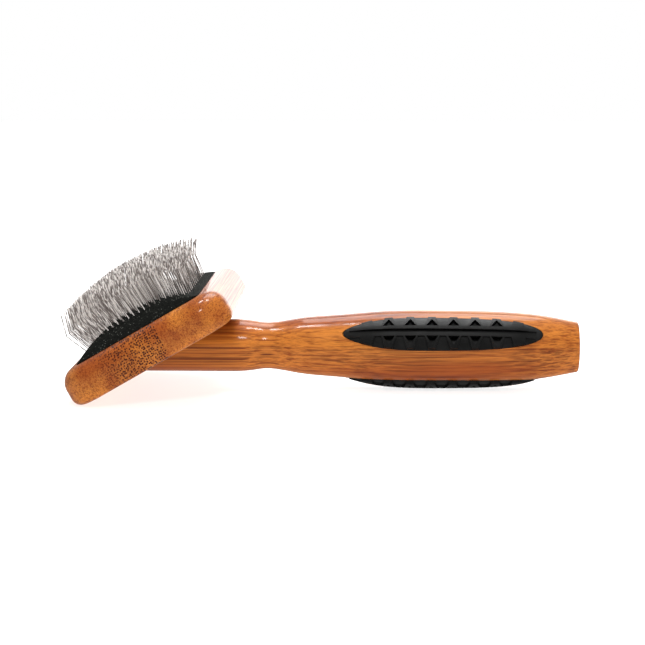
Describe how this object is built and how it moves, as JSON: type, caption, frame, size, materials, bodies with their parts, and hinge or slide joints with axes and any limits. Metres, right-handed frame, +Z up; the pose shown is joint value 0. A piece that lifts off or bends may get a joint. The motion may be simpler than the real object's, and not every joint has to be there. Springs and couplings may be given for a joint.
{
  "type": "slicker brush",
  "caption": "Slicker brush for pets: bent wire pins on a domed cushion pad in a tilted bamboo T-head, with a turned bamboo handle and ribbed rubber grip inlays.",
  "frame": {"origin": "on the surface the brush lies on, under the middle of its overall length and width", "axes": "+X along the handle towards its free end, +Z up with the pins upwards, Y along the head's long side"},
  "size_m": [0.2064, 0.107, 0.0589],
  "materials": {
    "bamboo_handle": "gloss lacquered bamboo, grain along the handle",
    "bamboo_head": "gloss lacquered bamboo, grain across the handle, end grain on the ends",
    "grip_rubber": "matt moulded black rubber",
    "pad_rubber": "matt black rubber with pale flecks",
    "pad_foam": "matt black closed-cell foam with pale flecks",
    "wire_steel": "bright drawn steel wire",
    "screw_steel": "zinc-plated steel"
  },
  "bodies": {
    "root": {"handle": "bamboo_handle", "head_block": "bamboo_head", "head_screws": "screw_steel", "foam_cushion": "pad_foam", "grip_left": "grip_rubber", "grip_right": "grip_rubber", "grip_bottom": "grip_rubber"},
    "pin_pad": {"foundation": "pad_rubber", "pin_row_01": "wire_steel", "pin_row_02": "wire_steel", "pin_row_03": "wire_steel", "pin_row_04": "wire_steel", "pin_row_05": "wire_steel", "pin_row_06": "wire_steel", "pin_row_07": "wire_steel", "pin_row_08": "wire_steel", "pin_row_09": "wire_steel", "pin_row_10": "wire_steel", "pin_row_11": "wire_steel", "pin_row_12": "wire_steel", "pin_row_13": "wire_steel", "pin_row_14": "wire_steel", "pin_row_15": "wire_steel", "pin_row_16": "wire_steel", "pin_row_17": "wire_steel", "pin_row_18": "wire_steel", "pin_row_19": "wire_steel", "pin_row_20": "wire_steel", "pin_row_21": "wire_steel", "pin_row_22": "wire_steel", "pin_row_23": "wire_steel", "pin_row_24": "wire_steel", "pin_row_25": "wire_steel", "pin_row_26": "wire_steel"}
  },
  "joints": [
    {"name": "pad_press", "type": "slide", "parent": "root", "child": "pin_pad", "axis": [-0.5, 0, 0.866], "range_m": [-0.0015, 0], "stiffness_N_per_m": 3000, "deforming": ["foam_cushion"]}
  ]
}
